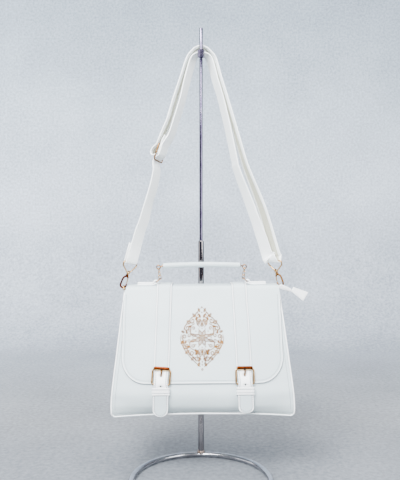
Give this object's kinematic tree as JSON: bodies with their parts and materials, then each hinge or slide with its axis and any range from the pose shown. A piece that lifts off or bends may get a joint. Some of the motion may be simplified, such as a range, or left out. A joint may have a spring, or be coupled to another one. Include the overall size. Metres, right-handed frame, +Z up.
{
  "type": "satchel on display stand",
  "caption": "Flap satchel with buckled belts and a chain-hung top handle, hanging by its shoulder strap from the hook of a ring-based rod stand.",
  "frame": {"origin": "foot of the stand's pole, on the underside of the base ring", "axes": "+Z up, -Y toward the bag's front, +X to the viewer's right"},
  "size_m": [0.3206, 0.2285, 0.742],
  "materials": {
    "white_leather": "grained, satin",
    "strap_leather": "grained, satin",
    "zip_fabric": "woven",
    "rose_gold": "polished",
    "chrome": "polished"
  },
  "bodies": {
    "root": {"front_panel": "white_leather", "back_panel": "white_leather", "gusset_left": "white_leather", "gusset_right": "white_leather", "base_panel": "white_leather", "front_piping": "white_leather", "back_piping": "white_leather", "flap": "white_leather", "zip_end_tab": "white_leather", "belt_left": "white_leather", "belt_right": "white_leather", "chape_left": "white_leather", "chape_right": "white_leather", "keeper_left": "white_leather", "keeper_right": "white_leather", "handle_grip": "white_leather", "handle_tab_left": "white_leather", "handle_tab_right": "white_leather", "side_tab_left": "white_leather", "side_tab_right": "white_leather", "shoulder_strap": "strap_leather", "zip_tape": "zip_fabric", "strap_adjuster": "rose_gold", "buckle_frame_left": "rose_gold", "buckle_prong_left": "rose_gold", "handle_eye_left": "rose_gold", "chain_link_a_left": "rose_gold", "chain_link_b_left": "rose_gold", "chain_link_c_left": "rose_gold", "tab_ring_left": "rose_gold", "d_ring_left": "rose_gold", "swivel_eye_left": "rose_gold", "hook_body_left": "rose_gold", "buckle_frame_right": "rose_gold", "buckle_prong_right": "rose_gold", "handle_eye_right": "rose_gold", "chain_link_a_right": "rose_gold", "chain_link_b_right": "rose_gold", "chain_link_c_right": "rose_gold", "tab_ring_right": "rose_gold", "d_ring_right": "rose_gold", "swivel_eye_right": "rose_gold", "hook_body_right": "rose_gold", "base_ring": "chrome", "lower_tube": "chrome", "upper_rod": "chrome"},
    "left_gate": {"hook_gate_left": "rose_gold"},
    "right_gate": {"hook_gate_right": "rose_gold"}
  },
  "joints": [
    {"name": "left_gate_hinge", "type": "hinge", "parent": "root", "child": "left_gate", "pos_m": [-0.12463, -0.031, 0.31719], "axis": [0, 1, 0], "range_deg": [0, 25], "stiffness_Nm_per_rad": 0.02},
    {"name": "right_gate_hinge", "type": "hinge", "parent": "root", "child": "right_gate", "pos_m": [0.12783, -0.031, 0.32051], "axis": [0, -1, 0], "range_deg": [0, 25], "stiffness_Nm_per_rad": 0.02}
  ]
}
